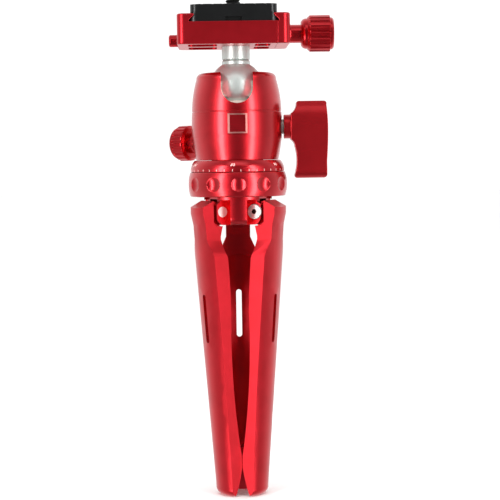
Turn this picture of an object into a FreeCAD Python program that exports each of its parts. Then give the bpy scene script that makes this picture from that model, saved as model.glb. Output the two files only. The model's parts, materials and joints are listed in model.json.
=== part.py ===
import FreeCAD, Part
import math
import os
from FreeCAD import Vector

# Folding tabletop tripod with a ball head and a quick-release clamp.  Millimetres, +Z up.
# The tripod's own axis is X = Y = 0 and the ground is Z = 0.  The legs are folded together:
# one at the back (+Y), one front left and one front right.  The lock knob points to +X.

# ---- driving dimensions ------------------------------------------------------------------
run_gap = 0.05            # radial clearance of a shaft that turns in its bore
face_gap = 0.1            # clearance between two faces that slide past each other
fold_gap = 0.15           # half of the gap between neighbouring folded legs
leg_count = 3
rear_azimuth = 90.0       # degrees, where the rear leg stands

hub_r = 14.6
neck_r = 12.0
hub_shoulder_step = 1.7   # how far the hub's wide part reaches up into the grip ring
ring_height = 10.5
ring_edge_r = 20.5
ring_belly_r = 21.3
scallop_count = 12
scallop_r = 6.2           # radius of the cutter that makes one finger scallop
scallop_depth = 1.1

hinge_u = 10.8            # hinge axis, out from the tripod's axis
hinge_z = 122.6           # and above the ground: the length of a leg
hub_below_hinge = 5.6
ring_above_hinge = 6.4
ear_half = 5.2            # outer faces of a pair of hub ears
slot_half = 2.9           # slot between the ears
tongue_half = 2.5
column_half = 3.45        # half width of the columns left between the ears
tongue_r = 4.2
barrel_r = 2.25
hinge_screw_r = 1.5
hinge_head_r = 3.25
hinge_head_t = 1.0
head_sink = 0.5           # how deep the hinge screw's head sits in its ear

leg_tip_r = 11.28         # outer radius of the folded legs just above the rounded tips
leg_tip_z = 3.6
leg_cone_r = 19.95
collar_r = 21.1
collar_below_hinge = 0.6
leg_half_top = 5.3        # half width of a leg beside the hub
leg_half_wide = 8.38
leg_half_mid = 8.05
leg_half_tip = 6.7
wide_below_hinge = 18.6
shoulder_below_hinge = 11.7
leg_wall = 1.7
open_angle = 27.0         # a leg's top face meets the ring at this angle
sole_r = 7.4              # inner edge of the sole, out from the axis
inner_top_below = 10.3    # inner face of a leg: where it starts, below the hinge,
inner_neck_below = 19.6   # where it has curved in,
inner_mid_z = 72.0        # its straightest place
inner_low_z = 17.0        # and where the leg is thickest
inner_neck_in = 0.4       # the same places, measured from the hinge axis or the tripod's axis
inner_mid_u = 9.3
inner_low_u = 4.3
toe_z = 12.5
sight_slot_w = 2.4
sight_slot_low = 66.5
sight_slot_high = 87.4

dial_thick = 4.8
dial_low_r = 20.1
dial_top_r = 18.4
spigot_r = 11.0
spigot_len = 9.5
retainer_r = 12.1
retainer_t = 1.1
axle_r = 4.0
axle_head_r = 6.0
axle_depth = 15.0

ball_r = 11.8
ball_rise = 30.5          # ball's centre above the housing's foot
ball_gap = 0.06
housing_height = 37.0
foot_r = 17.6
belly_r = 19.3
mouth_r = 10.3
cavity_r = 12.35
liner_gap = 0.05
notch_half = 6.75
seat_below_ball = 5.5     # top edge of the cup, below the ball's centre
liner_below_ball = 4.0
liner_above_ball = 2.9
stem_r = 6.0
stem_len = 12.0           # ball's centre to the stem's end, where the collar begins
collar_len = 5.8
boss_r = 4.0              # the collar's boss, let into the clamp
boss_len = 2.0
bolt_r = 2.0
bolt_head_r = 4.2
bolt_seat = 4.0           # bolt head's seat, below the dovetail's floor
bolt_reach = 3.9          # how far the bolt goes into the collar
swivel_pin_r = 3.0
swivel_pin_len = 9.0
rim_r = 14.9              # flat top of the housing
low_groove_rise = 9.9
high_groove_rise = 20.6
groove_r = 0.35
badge_side = 8.4
badge_rise = 15.3
badge_depth = 0.55
badge_frame = 0.65

lock_rise = 14.0          # lock screw's axis above the housing's foot
lock_stud_r = 3.2
lock_hub_r = 5.15
lock_hub_x = 20.1
lock_wing_x = 25.5
lock_end_x = 38.4
lock_short = 10.8
lock_long = 22.1
lock_half = 4.2
plunger_in = 2.2
plunger_out = 11.6

pan_azimuth = 145.0
pan_rise = 7.6
pan_pad_r = 1.6
pan_stud_r = 2.0
pan_knob_r = 7.7
pan_knob_in = 23.4
pan_knob_len = 8.4
pan_flutes = 18

clamp_thick = 9.4         # underside to the floor of the dovetail
jaw_height = 3.4
clamp_left = -24.7
clamp_split = 17.2
split_gap = 0.12
clamp_right = 22.6
clamp_half_y = 18.5
clamp_corner = 3.0
clamp_mid = -0.9          # middle of the dovetail
tail_half = 18.8
lip_half = 16.75
tail_side = 0.6
clamp_screw_rise = 5.1    # screw's axis above the clamp's underside
clamp_screw_r = 2.5
knob_shaft_r = 3.9
knob_shaft_len = 5.3
knob_r = 7.8
knob_len = 13.9
knob_flutes = 20
guide_y = 11.0
guide_r = 1.5
guide_len = 16.0
guide_in = 4.0            # how deep a guide pin sits in the jaw
spring_r = 2.2
spring_wire = 0.5

button_r = 2.6
button_rise = 2.7
button_out = 3.8          # how far the button stands out

stop_pin_r = 1.2
stop_pin_y = 9.0
stop_reach = 4.5          # half length of the plate's groove over the stop pin
plate_half = 18.15
plate_half_y = 18.2
plate_corner = 2.9
plate_height = 7.1         # dovetail floor to the plate's top
pad_proud = 0.3
plate_gap = 0.06
camera_r = 3.175          # quarter-inch camera thread, outside
camera_neck_r = 2.6
camera_out = 3.3          # thread above the pad
camera_head_r = 7.5
camera_head_t = 1.9


# ---- heights that follow from them -------------------------------------------------------
hub_bottom = hinge_z - hub_below_hinge
ring_bottom = hinge_z + ring_above_hinge
ring_top = ring_bottom + ring_height
hub_shoulder = ring_bottom + hub_shoulder_step
ring_r_in = hub_r + run_gap
collar_z = hinge_z - collar_below_hinge
leg_wide_z = hinge_z - wide_below_hinge
leg_shoulder_z = hinge_z - shoulder_below_hinge
dial_low = ring_top + face_gap
dial_top = dial_low + dial_thick
housing_low = dial_top + face_gap
housing_top = housing_low + housing_height
spigot_top = dial_top + spigot_len
retainer_low = spigot_top + face_gap
retainer_top = retainer_low + retainer_t
axle_head_low = retainer_top - 0.8
lock_z = housing_low + lock_rise
pan_z = housing_low + pan_rise
ball_z = housing_low + ball_rise
seat_low = lock_z + lock_stud_r + 2 * face_gap
seat_high = ball_z - seat_below_ball
liner_low = ball_z - liner_below_ball
liner_high = ball_z + liner_above_ball
neck_joint_z = ball_z + stem_len
clamp_low = neck_joint_z + face_gap + collar_len
clamp_floor = clamp_low + clamp_thick
clamp_top = clamp_floor + jaw_height
clamp_screw_z = clamp_low + clamp_screw_rise
button_z = clamp_low + button_rise
plate_shoulder = clamp_top + 4 * face_gap
plate_top = clamp_floor + plate_height
pad_top = plate_top + pad_proud
camera_tip = pad_top + camera_out


# ---- small helpers -----------------------------------------------------------------------
def cylinder(radius, low, high, x=0.0, y=0.0):
    return Part.makeCylinder(radius, high - low, Vector(x, y, low))


def tube(outer, inner, low, high):
    return cylinder(outer, low, high).cut(cylinder(inner, low - 1, high + 1))


def block(x0, x1, y0, y1, z0, z1):
    return Part.makeBox(x1 - x0, y1 - y0, z1 - z0, Vector(x0, y0, z0))


def turn(shape, degrees, axis=Vector(0, 0, 1), centre=Vector(0, 0, 0)):
    moved = shape.copy()
    moved.rotate(centre, axis, degrees)
    return moved


def move(shape, x=0.0, y=0.0, z=0.0):
    moved = shape.copy()
    moved.translate(Vector(x, y, z))
    return moved


def to_x(shape, z=0.0, y=0.0):
    """Lay a shape that was made along +Z along +X, at height z."""
    return move(turn(shape, 90, Vector(0, 1, 0)), 0, y, z)


def outline(start, steps, place):
    """Closed face: each step is a point, or (middle, end) for an arc."""
    edges = []
    here = start
    for step in steps:
        if isinstance(step[0], tuple):
            middle, end = step
            edges.append(Part.Arc(place(here), place(middle), place(end)).toShape())
        else:
            end = step
            edges.append(Part.LineSegment(place(here), place(end)).toShape())
        here = end
    if here != start:
        edges.append(Part.LineSegment(place(here), place(start)).toShape())
    return Part.Face(Part.Wire(edges))


def on_xz(point):
    return Vector(point[0], 0, point[1])


def on_yz(point):
    return Vector(0, point[0], point[1])


def lathe(start, steps):
    """Turned piece: the outline is given as (radius, height)."""
    return outline(start, steps, on_xz).revolve(Vector(0, 0, 0), Vector(0, 0, 1), 360)


def slab_y(start, steps, half):
    """Outline in X and Z, as thick as 2 x half along Y."""
    return move(outline(start, steps, on_xz).extrude(Vector(0, 2 * half, 0)), 0, -half, 0)


def slab_x(start, steps, x0, x1):
    """Outline in Y and Z, from x0 to x1."""
    return move(outline(start, steps, on_yz).extrude(Vector(x1 - x0, 0, 0)), x0, 0, 0)


def sphere(radius, z):
    return Part.makeSphere(radius, Vector(0, 0, z))


def rounded_block(x0, x1, half_y, z0, z1, corner):
    shape = block(x0, x1, -half_y, half_y, z0, z1)
    upright = [e for e in shape.Edges if abs(e.BoundBox.ZLength - (z1 - z0)) < 0.001]
    return shape.makeFillet(corner, upright)


def ring_of(shape, count, first=0.0):
    return [turn(shape, first + 360.0 * i / count) for i in range(count)]


def socket(across, low, high):
    """Six-lobed or hexagon drive, as a plain hexagonal hole."""
    corners = [(across * math.cos(math.radians(60 * i)), across * math.sin(math.radians(60 * i)))
               for i in range(7)]
    wire = Part.makePolygon([Vector(x, y, low) for x, y in corners])
    return Part.Face(wire).extrude(Vector(0, 0, high - low))


# ---- hub ---------------------------------------------------------------------------------


def leg_azimuths():
    return [rear_azimuth + 360.0 * i / leg_count for i in range(leg_count)]


def hub():
    bottom_round = 3.3
    half_way = bottom_round * (1 - math.sqrt(0.5))
    ear_neck_u = hinge_u + 1.3
    body = lathe((0, hub_bottom), [
        (hub_r - bottom_round, hub_bottom),
        ((hub_r - half_way, hub_bottom + half_way), (hub_r, hub_bottom + bottom_round)),
        (hub_r, hub_shoulder),
        (neck_r, hub_shoulder),
        (neck_r, dial_low),
        (0, dial_low)])
    slot = block(hinge_u - 5.2, hub_r + 1, -slot_half, slot_half, hub_bottom - 1, hinge_z + 5.4)
    room_half = leg_half_top + 0.3
    room = block(ear_neck_u, hub_r + 1, -room_half, room_half, hinge_z, ring_bottom)
    kept = turn(cylinder(tongue_r, -room_half, room_half), 90, Vector(1, 0, 0))
    room = room.cut(move(kept, hinge_u, 0, hinge_z))
    apex = (2 * column_half / math.sqrt(3)) + ear_half / math.sqrt(3)
    far = hub_r + 3
    far_v = column_edge(far)
    pocket_face = Part.Face(Part.makePolygon([
        Vector(apex, ear_half, 0), Vector(far, ear_half, 0), Vector(far, far_v, 0), Vector(apex, ear_half, 0)]))
    pocket_top = ring_bottom - 1.3
    pocket_low = hub_bottom - 1
    pocket = move(pocket_face.extrude(Vector(0, 0, pocket_top - pocket_low)), 0, 0, pocket_low)
    other_pocket = pocket.mirror(Vector(0, 0, 0), Vector(0, 1, 0))
    bore = hinge_cylinder(barrel_r, -ear_half - 1, ear_half + 1)
    head_room = hinge_cylinder(hinge_head_r + 0.1, -ear_half - 3, -ear_half + head_sink)
    for azimuth in leg_azimuths():
        for cutter in (slot, room, pocket, other_pocket, bore, head_room):
            body = body.cut(turn(cutter, azimuth))
    return body.cut(cylinder(axle_r, dial_low - axle_depth, dial_low + 1))


def column_edge(u):
    """Tangential place, at radius u along a leg's middle, of the side of the next column."""
    return math.sqrt(3) * u - 2 * column_half


def hinge_cylinder(radius, v0, v1):
    """Cylinder on the hinge axis of a leg that points along +X."""
    return Part.makeCylinder(radius, v1 - v0, Vector(hinge_u, v0, hinge_z), Vector(0, 1, 0))


# ---- legs --------------------------------------------------------------------------------
def leg_cone(inset):
    """Solid of all that lies inside the folded legs' common outer surface."""
    cone_z = hub_bottom
    return lathe((0, 0), [
        (leg_tip_r - 3.4 - inset, 0),
        ((leg_tip_r - 0.9 - inset, leg_tip_z - 2.6), (leg_tip_r - inset, leg_tip_z)),
        (leg_cone_r - inset, cone_z),
        (collar_r - inset, collar_z),
        (collar_r - inset, ring_bottom + 4),
        (0, ring_bottom + 4)])


def leg_width(inset, low, high):
    """The leg's front outline, as a prism along the leg's own X."""
    wide = leg_half_wide - inset
    top = leg_half_top - inset
    middle = leg_half_mid - inset
    tip = leg_half_tip - inset
    mid_z = leg_wide_z / 2
    steps = [
        (tip, low),
        ((middle, mid_z), (wide, leg_wide_z)),
        (top, leg_shoulder_z),
        (top, high),
        (-top, high),
        (-top, leg_shoulder_z),
        (-wide, leg_wide_z),
        ((-middle, mid_z), (-tip, low))]
    return slab_x((0, low), steps, 0, collar_r + 2)


def leg():
    """One leg, pointing along +X, folded."""
    stop_low = hinge_z + 2.1
    stop_slope = math.tan(math.radians(open_angle))
    face_u = hub_r + 0.6
    stop_out = hinge_u + 9.7
    stop_in_z = stop_low + (stop_out - face_u) * stop_slope
    under = hub_bottom - 0.45
    far_u = collar_r + 3.9
    inner_top = hinge_z - inner_top_below
    inner_neck = hinge_z - inner_neck_below
    neck_u = hinge_u - inner_neck_in
    bow_u = (inner_mid_u + inner_low_u) / 2 + 1.4
    side = slab_y((sole_r, 0), [
        (far_u, 0),
        (far_u, stop_low - (far_u - stop_out) * stop_slope),
        (face_u, stop_in_z),
        (face_u, under + 2.0),
        ((face_u - 0.59, under + 0.59), (face_u - 2.0, under)),
        (hinge_u + 0.1, under),
        (hinge_u + 1.1, inner_top),
        ((hinge_u + 1.0, inner_top - 2.7), (neck_u, inner_neck)),
        ((inner_mid_u + 0.1, (inner_neck + inner_mid_z) / 2 + 0.5), (inner_mid_u, inner_mid_z)),
        ((bow_u, (inner_mid_z + inner_low_z) / 2 + 1.5), (inner_low_u, inner_low_z)),
        (inner_low_u, toe_z),
        (((inner_low_u + sole_r) / 2 - 0.25, toe_z * 0.45), (sole_r, 0))], 10)
    shape = side.common(leg_width(0, -0.01, ring_bottom)).common(leg_cone(0))
    apex_u = 2 * fold_gap / math.sqrt(3)
    reach = 40.0
    wedge_face = Part.Face(Part.makePolygon([
        Vector(apex_u, 0, 0), Vector(reach, (reach - apex_u) * math.sqrt(3), 0),
        Vector(reach, -(reach - apex_u) * math.sqrt(3), 0), Vector(apex_u, 0, 0)]))
    wedge = wedge_face.extrude(Vector(0, 0, ring_top + 1))
    shape = shape.common(move(wedge, 0, 0, -1))
    shape = shape.cut(leg_pocket()).cut(sight_slot())
    tongue = hinge_cylinder(tongue_r, -tongue_half, tongue_half)
    web = block(hinge_u, face_u + 1, -tongue_half, tongue_half, under - 2, hinge_z + tongue_r)
    heel = block(hinge_u + 0.2, face_u, -tongue_half, tongue_half, under - 2, hinge_z)
    shape = shape.fuse([tongue, web, heel]).removeSplitter()
    return shape.cut(hinge_cylinder(barrel_r + run_gap, -10, 10))


def leg_pocket():
    """Hollow on the inside of the leg, with an arched top."""
    arch_r = 6.2
    arch_z = leg_wide_z - 0.5 - arch_r
    low = 19.0
    arch = slab_x((-leg_half_wide, low), [
        (leg_half_wide, low),
        (leg_half_wide, arch_z - 3.0),
        ((0, arch_z + arch_r), (-leg_half_wide, arch_z - 3.0))], 0, collar_r)
    return leg_cone(leg_wall).common(leg_width(leg_wall - 0.1, low, ring_bottom)).common(arch)


def sight_slot():
    half = sight_slot_w / 2
    slot = block(0, collar_r + 1, -half, half, sight_slot_low + half, sight_slot_high - half)
    ends = [move(turn(cylinder(half, 0, collar_r + 1), 90, Vector(0, 1, 0)), 0, 0, z)
            for z in (sight_slot_low + half, sight_slot_high - half)]
    return slot.fuse(ends)


def hinge_barrel():
    """Sleeve nut that the leg turns on, its plain end flush in one ear."""
    sleeve = hinge_cylinder(barrel_r, -ear_half + head_sink, ear_half)
    return sleeve.cut(hinge_cylinder(hinge_screw_r, -ear_half - 1, ear_half - 1.5))


def hinge_screw():
    seat_y = -ear_half + head_sink
    shank = hinge_cylinder(hinge_screw_r, seat_y, ear_half - 2)
    head = hinge_cylinder(hinge_head_r, seat_y - hinge_head_t, seat_y)
    rim = [e for e in head.Edges if e.BoundBox.YMax < seat_y - hinge_head_t + 0.01
           and e.BoundBox.YLength < 0.01]
    head = head.makeFillet(0.45, rim)
    drive = turn(socket(1.15, -0.7, 1.0), 90, Vector(1, 0, 0))
    drive = move(drive, hinge_u, seat_y - hinge_head_t, hinge_z)
    return head.fuse(shank).removeSplitter().cut(drive)


def hinge_washers():
    plate = hinge_cylinder(tongue_r - 0.4, tongue_half + 0.02, slot_half - 0.02)
    near = plate.cut(hinge_cylinder(barrel_r + run_gap, -10, 10))
    return [near, near.mirror(Vector(0, 0, 0), Vector(0, 1, 0))]


# ---- ring, dial and pan joint ------------------------------------------------------------
def stop_ring():
    mid = (ring_bottom + ring_top) / 2
    round_edge = 0.7
    lip_z = hub_shoulder + face_gap
    shape = lathe((ring_r_in, ring_bottom), [
        (ring_edge_r - round_edge, ring_bottom),
        (ring_edge_r, ring_bottom + round_edge),
        ((ring_belly_r, mid), (ring_edge_r, ring_top - round_edge)),
        (ring_edge_r - round_edge, ring_top),
        (neck_r + run_gap, ring_top),
        (neck_r + run_gap, lip_z),
        (ring_r_in, lip_z)])
    cutter_x = ring_belly_r + scallop_r - scallop_depth
    scoop = Part.makeSphere(scallop_r, Vector(cutter_x, 0, mid))
    for one in ring_of(scoop, scallop_count, -rear_azimuth):
        shape = shape.cut(one)
    return shape


def degree_ring():
    """Dial plate with the spigot that the head turns on."""
    shoulder = 1.2
    shape = lathe((axle_r, dial_low), [
        (dial_low_r, dial_low),
        (dial_low_r, dial_low + shoulder),
        ((dial_low_r - 0.55, dial_low + 3.1), (dial_top_r, dial_top)),
        (spigot_r, dial_top),
        (spigot_r, spigot_top),
        (axle_r, spigot_top)])
    return shape.cut(axle_head_room())


def pan_retainer():
    shape = tube(retainer_r, axle_r, spigot_top, retainer_top)
    shape = shape.cut(tube(retainer_r + 1, spigot_r - 0.2, spigot_top - 1, retainer_low))
    return shape.cut(axle_head_room())


def axle_head_room():
    """Countersink of the axle's head, through retainer and spigot."""
    return lathe((0, axle_head_low - 1.5), [
        (axle_r, axle_head_low - 1.5),
        (axle_head_r, axle_head_low),
        (axle_head_r, retainer_top + 1),
        (0, retainer_top + 1)])


def pan_axle():
    """Screw that ties the dial, the retainer and the hub together."""
    shape = lathe((0, dial_low - axle_depth + 1), [
        (axle_r, dial_low - axle_depth + 1),
        (axle_r, axle_head_low - 1.5),
        (axle_head_r, axle_head_low),
        (axle_head_r, retainer_top),
        (0, retainer_top)])
    return shape.cut(socket(2.9, retainer_top - 3, retainer_top + 1))


# ---- head --------------------------------------------------------------------------------
def housing():
    outer = [
        (foot_r, housing_low),
        (foot_r + 0.4, housing_low + 1.7),
        ((belly_r - 0.55, housing_low + 6.1), (belly_r, housing_low + low_groove_rise + 0.4)),
        ((belly_r + 0.1, housing_low + 15.0), (belly_r - 0.1, housing_low + high_groove_rise - 0.1)),
        ((belly_r - 0.65, housing_low + 27.3), (rim_r + 2.2, housing_top - 2.6)),
        ((rim_r + 1.6, housing_top - 0.8), (rim_r, housing_top))]
    lip_r = ball_r + 0.15
    lip_z = ball_z + math.sqrt(lip_r ** 2 - mouth_r ** 2)
    at_liner = math.sqrt(lip_r ** 2 - (liner_high + 0.05 - ball_z) ** 2)
    lip_mid_z = (lip_z + liner_high) / 2
    lip_mid = math.sqrt(lip_r ** 2 - (lip_mid_z - ball_z) ** 2)
    bore = spigot_r + run_gap
    shape = lathe((bore, housing_low), outer + [
        (mouth_r, housing_top),
        (mouth_r, lip_z),
        ((lip_mid, lip_mid_z), (at_liner, liner_high + 0.05)),
        (cavity_r, liner_high + 0.05),
        (cavity_r, spigot_top - face_gap),
        (bore, spigot_top - face_gap)])
    for rise, r in ((high_groove_rise, belly_r - 0.1), (low_groove_rise, belly_r - 0.03)):
        line = Part.makeTorus(r + groove_r * 0.4, groove_r, Vector(0, 0, housing_low + rise))
        shape = shape.cut(line)
    shape = shape.cut(notch())
    shape = shape.cut(to_x(cylinder(lock_stud_r + run_gap, plunger_out - 1, 30), lock_z))
    shape = shape.cut(to_x(cylinder(lock_stud_r + 1.2, 18.3, 30), lock_z))
    shape = shape.cut(radial(cylinder(pan_stud_r + run_gap, 8, 30)))
    return shape.cut(badge_block(0, -belly_r + badge_depth))


def notch():
    """U-shaped opening at the front that the stem drops into."""
    gap = block(-notch_half, notch_half, -25, 0, ball_z, housing_top + 1)
    base = Part.makeCylinder(notch_half, 25, Vector(0, -25, ball_z), Vector(0, 1, 0))
    return gap.fuse(base)


def radial(shape):
    """Lay a shape that was made along +Z along the pan knob's direction."""
    return turn(to_x(shape, pan_z), pan_azimuth)


def badge_block(inset, back):
    """Box on the head's front, smaller than the badge's place by inset on each side."""
    half = badge_side / 2 - inset
    middle = housing_low + badge_rise
    return block(-half, half, -belly_r - 2, back, middle - half, middle + half)


def badge_plate():
    """Bare inset plate at the front of the head."""
    back = -belly_r + badge_depth
    shape = badge_block(run_gap, back).common(cylinder(belly_r + 0.02, housing_low, housing_top))
    return shape.cut(badge_block(badge_frame, back - 0.3))


def ball_seat():
    cup = cylinder(cavity_r - liner_gap, seat_low, seat_high).cut(sphere(ball_r + ball_gap, ball_z))
    foot = cylinder(4.0, retainer_top + 0.2, seat_low, -1.0)
    room_r = lock_stud_r + 0.15
    wedge = lathe((0, plunger_in - 0.15), [
        (1.6, plunger_in - 0.15),
        (room_r, plunger_in + 2.9),
        (room_r, cavity_r + 1.6),
        (0, cavity_r + 1.6)])
    return cup.fuse(foot).removeSplitter().cut(to_x(wedge, lock_z))


def ball_liner():
    ring = cylinder(cavity_r - liner_gap, liner_low, liner_high)
    return ring.cut(sphere(ball_r + ball_gap, ball_z)).cut(notch())


def lock_plunger():
    shape = lathe((0, plunger_in), [
        (1.5, plunger_in),
        (lock_stud_r - 0.1, plunger_in + 3),
        (lock_stud_r - 0.1, plunger_out),
        (0, plunger_out)])
    return to_x(shape, lock_z)


def lock_stud():
    """Threaded steel stud, with its ribs showing beside the head."""
    shape = cylinder(lock_stud_r, plunger_out + 0.3, lock_hub_x + 10)
    pitch = 1.0
    for i in range(3):
        z = 18.6 + pitch * (i - 0.5)
        shape = shape.cut(Part.makeTorus(lock_stud_r + 0.1, 0.35, Vector(0, 0, z)))
    return to_x(shape, lock_z)


def lock_knob():
    side = slab_y((lock_hub_x, -lock_hub_r), [
        (lock_hub_x, lock_hub_r),
        (22.4, lock_hub_r + 0.1),
        ((24.3, 6.6), (lock_wing_x, 9.9)),
        ((25.9, lock_short - 0.2), (26.8, lock_short)),
        (lock_end_x - 1.3, lock_short),
        ((lock_end_x - 0.3, lock_short - 0.4), (lock_end_x - 0.1, lock_short - 1.6)),
        ((lock_end_x + 0.45, -2.0), (lock_end_x, -15.0)),
        (lock_end_x, 1.6 - lock_long),
        ((lock_end_x - 0.4, 0.4 - lock_long), (lock_end_x - 1.4, -lock_long)),
        (25.4, -lock_long),
        ((24.75, 0.4 - lock_long), (24.6, 1.6 - lock_long)),
        ((25.5, -14.2), (24.7, -8.4)),
        ((24.0, -6.5), (22.6, -lock_hub_r - 0.2))], 12)
    neck = lock_hub_r + 0.9
    front = slab_x((lock_half - 0.9, lock_short + 0.5), [
        (-lock_half + 0.9, lock_short + 0.5),
        (-lock_half, 8.6),
        ((-neck, 3.0), (-neck, 0)),
        ((-4.9, -5.2), (-lock_half + 0.5, -10.5)),
        ((-lock_half + 0.6, -14.0), (-lock_half, -18.5)),
        ((-2.6, -lock_long + 0.4), (0, -lock_long - 0.1)),
        ((2.6, -lock_long + 0.4), (lock_half, -18.5)),
        ((lock_half - 0.6, -14.0), (lock_half - 0.5, -10.5)),
        ((4.9, -5.2), (neck, 0)),
        ((neck, 3.0), (lock_half, 8.6))], lock_hub_x - 1, lock_end_x + 2)
    shape = side.common(front)
    barrel = to_x(cylinder(lock_hub_r, lock_hub_x, 26))
    shape = shape.cut(to_x(tube(20, lock_hub_r, 0, 23.0)))
    shape = shape.fuse(barrel).removeSplitter()
    shape = shape.cut(to_x(cylinder(lock_stud_r, 0, lock_hub_x + 10)))
    cap_room = to_x(cylinder(3.4, lock_end_x - 0.8, lock_end_x + 2))
    return move(shape.cut(cap_room), 0, 0, lock_z)


def lock_cap():
    disc = to_x(cylinder(3.3, lock_end_x - 0.8, lock_end_x + 0.1), lock_z)
    return disc.cut(to_x(socket(1.4, lock_end_x - 0.5, lock_end_x + 1), lock_z))


def pan_stud():
    """Pan screw, with the brass pad in front of it."""
    return radial(cylinder(pan_stud_r, spigot_r + 2.2, pan_knob_in + 5))


def pan_pad():
    pad = radial(cylinder(pan_pad_r, spigot_r - 0.5, spigot_r + 2.1))
    return pad.cut(cylinder(spigot_r + run_gap, dial_top, spigot_top))


def fluted(profile_start, profile, radius, count, low, high, depth=0.45, groove=0.75):
    shape = lathe(profile_start, profile)
    cutter = cylinder(groove, low, high, radius + groove - depth)
    for one in ring_of(cutter, count):
        shape = shape.cut(one)
    return shape


def pan_knob():
    r = pan_knob_r
    low = pan_knob_in
    top = pan_knob_in + pan_knob_len
    shape = fluted((0, low - 2.6), [
        (4.4, low - 2.6), (4.4, low), (r - 1.2, low), (r, low + 1.0), (r, top - 2.6), (r - 0.9, top - 1.9),
        (r - 0.9, top - 0.7), (r - 1.6, top), (3.2, top), (3.2, top - 0.8), (0, top - 0.8)],
        r, pan_flutes, low - 1, top - 2.0)
    return radial(shape.cut(cylinder(pan_stud_r, 0, pan_knob_in + 5)))


# ---- ball, stem and clamp ----------------------------------------------------------------
def ball():
    stem_low = ball_z + math.sqrt(ball_r ** 2 - stem_r ** 2) - 0.5
    chamfer = 0.5
    stem = lathe((0, stem_low), [
        (stem_r, stem_low),
        (stem_r, neck_joint_z - chamfer),
        (stem_r - chamfer, neck_joint_z),
        (0, neck_joint_z)])
    shape = sphere(ball_r, ball_z).fuse(stem).removeSplitter()
    hole_low = neck_joint_z - swivel_pin_len - 0.5
    return shape.cut(cylinder(swivel_pin_r + run_gap, hole_low, neck_joint_z + 1))


def stem_collar():
    low = neck_joint_z + face_gap
    chamfer = 0.4
    collar = lathe((0, low), [
        (stem_r - chamfer, low),
        (stem_r, low + chamfer),
        (stem_r, clamp_low),
        (boss_r, clamp_low),
        (boss_r, clamp_low + boss_len),
        (0, clamp_low + boss_len)])
    pin = cylinder(swivel_pin_r, neck_joint_z - swivel_pin_len, low)
    return collar.fuse(pin).removeSplitter().cut(cylinder(bolt_r, clamp_low - bolt_reach - 0.1, clamp_low + 3))


def stem_bolt():
    seat = clamp_floor - bolt_seat
    head = cylinder(bolt_head_r, seat, clamp_floor - 0.6)
    shape = head.fuse(cylinder(bolt_r, clamp_low - bolt_reach, seat + 0.1)).removeSplitter()
    return shape.cut(socket(2.3, seat + 1.2, clamp_floor))


def dovetail(grow, top):
    """Outline steps of the tail, wider by grow on each side."""
    low = clamp_floor
    knee = low + tail_side
    neck = knee + (tail_half - lip_half)
    t = tail_half + grow
    n = lip_half + grow
    return (-t, low), [(t, low), (t, knee), (n, neck), (n, top), (-n, top), (-n, neck), (-t, knee)]


def clamp_channel():
    start, steps = dovetail(0, clamp_top + 1)
    return move(slab_y(start, steps, clamp_half_y + 5), clamp_mid)


def clamp_envelope():
    """Outer form of base and jaw together, with softened long edges."""
    shape = rounded_block(clamp_left, clamp_right, clamp_half_y, clamp_low, clamp_top, clamp_corner)
    level = [e for e in shape.Edges if e.BoundBox.ZLength < 0.001]
    return shape.makeChamfer(0.4, level)


def clamp_base():
    shape = clamp_envelope().cut(clamp_channel())
    shape = shape.common(block(clamp_left - 1, clamp_split, -30, 30, clamp_low - 1, clamp_top + 1))
    shape = shape.cut(block(0, 40, -30, 30, clamp_floor, clamp_top + 1))
    shape = shape.cut(cylinder(bolt_head_r + run_gap, clamp_floor - bolt_seat, clamp_floor + 1))
    shape = shape.cut(cylinder(bolt_r + run_gap, clamp_low - 1, clamp_floor))
    shape = shape.cut(cylinder(boss_r + run_gap, clamp_low - 1, clamp_low + boss_len + run_gap))
    for recess in underside_recesses():
        shape = shape.cut(recess)
    shape = shape.cut(to_x(cylinder(clamp_screw_r + run_gap, 7.0, 30), clamp_screw_z))
    shape = shape.cut(to_x(cylinder(spring_r + 0.9, clamp_split - 6.0, 30), clamp_screw_z))
    for y in (-guide_y, guide_y):
        shape = shape.cut(to_x(cylinder(guide_r + run_gap, clamp_split - 13.0, 30), clamp_screw_z, y))
    button_bore = cylinder(button_r + run_gap, clamp_left - 1, clamp_left + 5.0)
    shape = shape.cut(to_x(button_bore, button_z))
    return shape.cut(cylinder(stop_pin_r + run_gap, button_z, clamp_floor + 1, pin_x(), stop_pin_y))


def pin_x():
    return clamp_left + 8.5


def underside_recesses():
    """Long lightening pockets, either side of the stem."""
    pockets = []
    for x0, x1 in ((clamp_left + 4.5, -8.0), (8.0, clamp_split - 2.6)):
        for side in (-1, 1):
            y0 = 2.2
            y1 = clamp_half_y - 3.2
            low, high = sorted((side * y0, side * y1))
            pocket = block(x0, x1, low, high, clamp_low - 1, clamp_low + 1.2)
            upright = [e for e in pocket.Edges if e.BoundBox.ZLength > 1]
            pockets.append(pocket.makeFillet(1.9, upright))
    return pockets


def jaw():
    shape = clamp_envelope().cut(clamp_channel())
    beside = block(clamp_split + split_gap, 40, -30, 30, clamp_low - 1, clamp_top + 1)
    above = block(0, 40, -30, 30, clamp_floor + face_gap, clamp_top + 1)
    shape = shape.common(beside.fuse(above))
    shape = shape.cut(to_x(cylinder(clamp_screw_r + run_gap, 10, 30), clamp_screw_z))
    for y in (-guide_y, guide_y):
        shape = shape.cut(to_x(cylinder(guide_r, clamp_split - 1, clamp_split + guide_in), clamp_screw_z, y))
    return shape


def guide_pins():
    pins = []
    for y in (-guide_y, guide_y):
        end = clamp_split + guide_in - face_gap
        pins.append(to_x(cylinder(guide_r, end - guide_len, end), clamp_screw_z, y))
    return pins


def clamp_screw():
    return to_x(cylinder(clamp_screw_r, 7.6, clamp_right + knob_shaft_len + 9), clamp_screw_z)


def jaw_spring():
    ring = tube(spring_r + spring_wire + 0.1, clamp_screw_r + 0.2, clamp_split - 5.9, clamp_split + split_gap)
    return to_x(ring, clamp_screw_z)


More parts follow.
